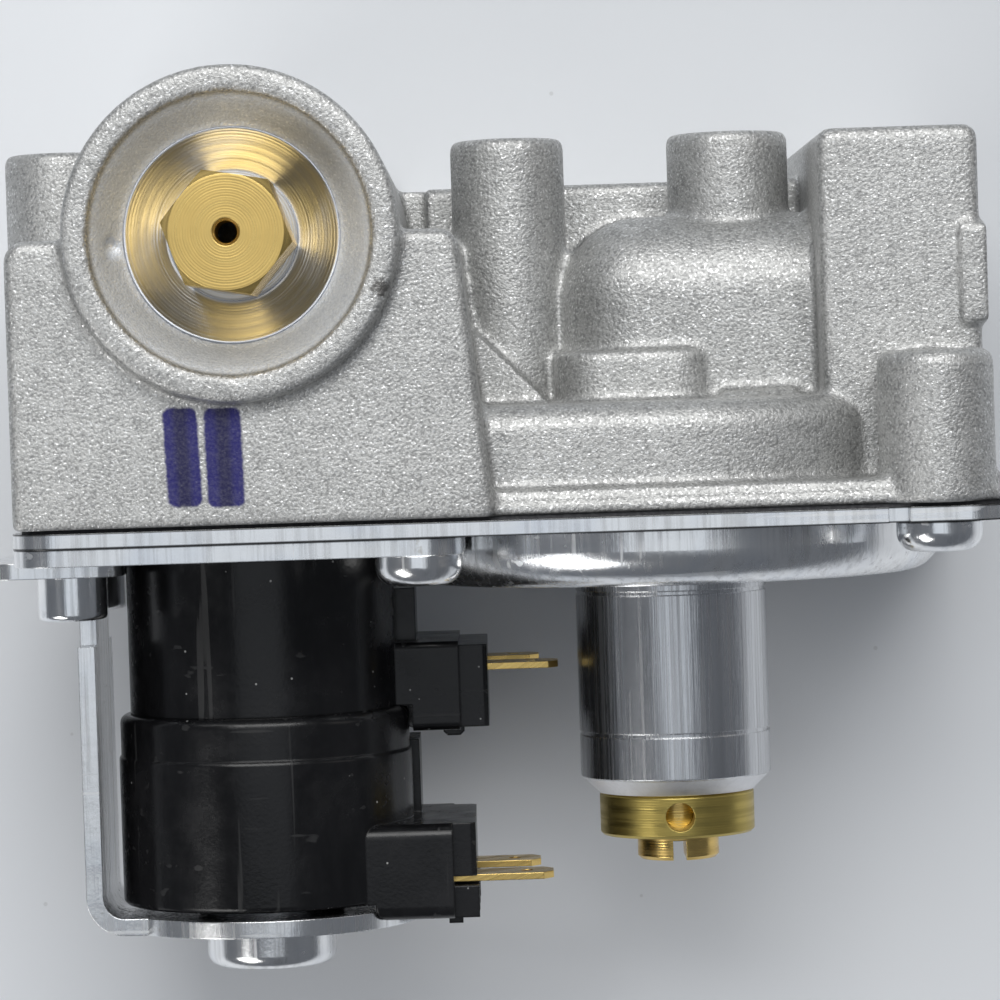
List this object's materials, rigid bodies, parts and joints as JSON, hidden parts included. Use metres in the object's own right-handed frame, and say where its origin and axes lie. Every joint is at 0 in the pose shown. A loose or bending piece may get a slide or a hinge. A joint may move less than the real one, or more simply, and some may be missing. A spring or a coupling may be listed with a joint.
{
  "type": "gas control valve",
  "caption": "Gas control valve: cast body with round outlet and injector, stacked solenoid coils in a strap bracket, and a diaphragm pressure regulator with a slotted adjuster.",
  "frame": {"origin": "centre of the inlet port's face, on the outlet's axis, where the back rests", "axes": "+Z out of the outlet, +Y from the coils to the mounting bosses, +X along the casting to the regulator"},
  "size_m": [0.1198, 0.1069, 0.0802],
  "materials": {
    "cast_aluminium": "bead-blasted die casting",
    "turned_aluminium": "turned, drawn streaks",
    "zinc_plated_steel": "bright zinc plate",
    "plain_steel": "machined",
    "brass": "turned",
    "black_plastic": "semi-gloss moulding",
    "spool_plastic": "natural nylon",
    "copper_winding": "enamelled wire",
    "black_rubber": "matte",
    "gasket_fibre": "matte sheet",
    "spring_steel": "drawn wire"
  },
  "bodies": {
    "housing": {"valve_body": "cast_aluminium", "cover_gasket": "gasket_fibre", "cover_plate": "zinc_plated_steel", "solenoid_base_plate": "zinc_plated_steel", "cover_screws": "zinc_plated_steel", "coil_bracket": "zinc_plated_steel", "bracket_screws": "zinc_plated_steel", "coil_nut": "zinc_plated_steel", "coil_spring_washer": "spring_steel", "upper_coil_case": "black_plastic", "upper_bobbin": "spool_plastic", "upper_winding": "copper_winding", "upper_terminals": "brass", "lower_coil_case": "black_plastic", "lower_bobbin": "spool_plastic", "lower_winding": "copper_winding", "lower_terminals": "brass", "middle_flux_washer": "plain_steel", "guide_tube": "brass", "guide_tube_seal": "black_rubber", "fixed_core": "plain_steel", "inlet_strainer": "brass", "outlet_injector": "brass", "injector_seal": "turned_aluminium", "regulator_tower": "turned_aluminium", "brass_collar": "brass"},
    "first_valve": {"first_plunger": "plain_steel", "first_disc_holder": "plain_steel", "first_valve_disc": "black_rubber", "first_valve_spring": "spring_steel"},
    "second_valve": {"second_plunger": "plain_steel", "second_disc_holder": "plain_steel", "second_valve_disc": "black_rubber", "second_valve_spring": "spring_steel"},
    "diaphragm_group": {"diaphragm": "black_rubber", "pressure_plate": "turned_aluminium", "spring_cup": "zinc_plated_steel", "regulator_stem": "turned_aluminium", "regulator_disc": "black_rubber", "regulator_disc_holder": "turned_aluminium", "regulator_spring": "spring_steel"},
    "pressure_screw": {"adjusting_screw": "brass"},
    "follower": {"spring_follower": "plain_steel"}
  },
  "joints": [
    {"name": "first_valve_lift", "type": "slide", "parent": "housing", "child": "first_valve", "axis": [0, -1, 0], "range_m": [0, 0.0025], "stiffness_N_per_m": 900, "springref_m": -0.003, "deforming": ["first_valve_spring"]},
    {"name": "second_valve_lift", "type": "slide", "parent": "housing", "child": "second_valve", "axis": [0, -1, 0], "range_m": [0, 0.0025], "stiffness_N_per_m": 900, "springref_m": -0.003, "deforming": ["second_valve_spring"]},
    {"name": "regulator_lift", "type": "slide", "parent": "housing", "child": "diaphragm_group", "axis": [0, -1, 0], "range_m": [0, 0.002], "stiffness_N_per_m": 1200, "springref_m": -0.004, "deforming": ["regulator_spring", "diaphragm"]},
    {"name": "pressure_adjustment", "type": "hinge", "parent": "housing", "child": "pressure_screw", "pos_m": [0.05, -0.07, 0.036], "axis": [0, 1, 0], "range_deg": [-720, 720]},
    {"name": "follower_travel", "type": "slide", "parent": "housing", "child": "follower", "axis": [0, 1, 0], "range_m": [-0.002, 0.002]}
  ],
  "couplings": [
    {"joint": "pressure_adjustment", "follows": "follower_travel", "rad_per_m": 6283.2}
  ]
}
